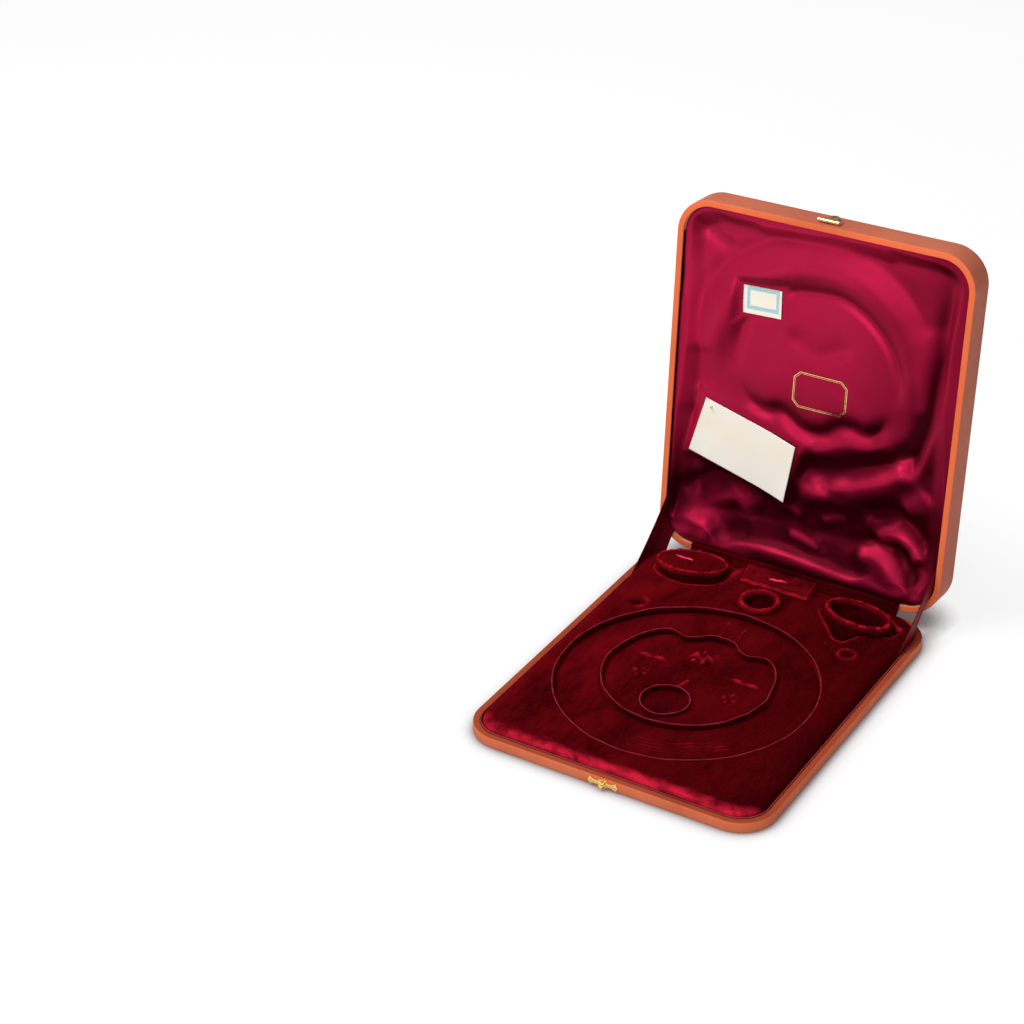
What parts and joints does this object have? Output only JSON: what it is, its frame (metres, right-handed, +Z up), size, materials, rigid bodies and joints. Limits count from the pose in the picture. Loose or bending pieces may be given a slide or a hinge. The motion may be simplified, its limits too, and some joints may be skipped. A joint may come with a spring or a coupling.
{
  "type": "fitted case",
  "caption": "Hinged leather jewellery case with velvet necklace bed, bracelet posts, satin-padded lid, ribbon stays, brass hasp and turning catch",
  "frame": {"origin": "middle of the underside of the base, on the surface that the case stands on", "axes": "+Z up, -Y towards the catch at the front, +Y towards the hinges, +X to the right seen from the front"},
  "size_m": [0.215, 0.318, 0.2692],
  "materials": {
    "leather": "tan morocco with fine grain and a soft polish",
    "lip": "maroon leather",
    "lining_panel": "plain tan skiver",
    "wood": "bare beech",
    "card": "pasteboard",
    "velvet": "crimson silk velvet over board",
    "satin": "crimson satin over wadding",
    "ribbon": "crimson silk ribbon",
    "hinge_cloth": "dark crimson cloth",
    "brass": "polished gilt brass",
    "paper": "matt laid paper"
  },
  "bodies": {
    "base": {"base_board": "wood", "base_cover": "leather", "underside_lining": "lining_panel", "base_lip": "lip", "velvet_deck": "velvet", "outer_fence": "velvet", "necklace_bed": "velvet", "inner_fence": "velvet", "brooch_bed": "velvet", "well_fence": "velvet", "well_pad": "velvet", "bracelet_post_left": "velvet", "bracelet_post_right": "velvet", "centre_block": "velvet", "ring_roll": "velvet", "catch_plate": "brass", "catch_screws": "brass", "hinge_base_leaves": "brass", "hinge_screws": "brass", "hinge_pins": "brass", "hinge_strip": "hinge_cloth", "stay_left": "ribbon", "stay_right": "ribbon"},
    "lid": {"lid_frame": "wood", "lid_board": "wood", "lid_cover": "leather", "lining_board": "card", "satin_cushion": "satin", "hinge_lid_leaves": "brass", "lid_hinge_screws": "brass", "paper_note": "paper", "note_pin": "brass", "paper_label": "paper", "hasp_plate": "brass", "hasp_screws": "brass", "hasp_pin": "brass"},
    "hasp": {"hasp_leaf": "brass"},
    "stud": {"turn_stud": "brass"}
  },
  "joints": [
    {"name": "lid_hinge", "type": "hinge", "parent": "base", "child": "lid", "pos_m": [0, 0.1315, 0.0076], "axis": [1, 0, 0], "range_deg": [0, 96], "deforming": ["satin_cushion", "stay_left", "stay_right", "hinge_strip"]},
    {"name": "hasp_hinge", "type": "hinge", "parent": "lid", "child": "hasp", "pos_m": [0, 0.16398, 0.26788], "axis": [1, 0, 0], "range_deg": [0, 180]},
    {"name": "stud_turn", "type": "hinge", "parent": "base", "child": "stud", "pos_m": [0, -0.129, 0.00375], "axis": [0, 1, 0], "range_deg": [0, 90]}
  ]
}
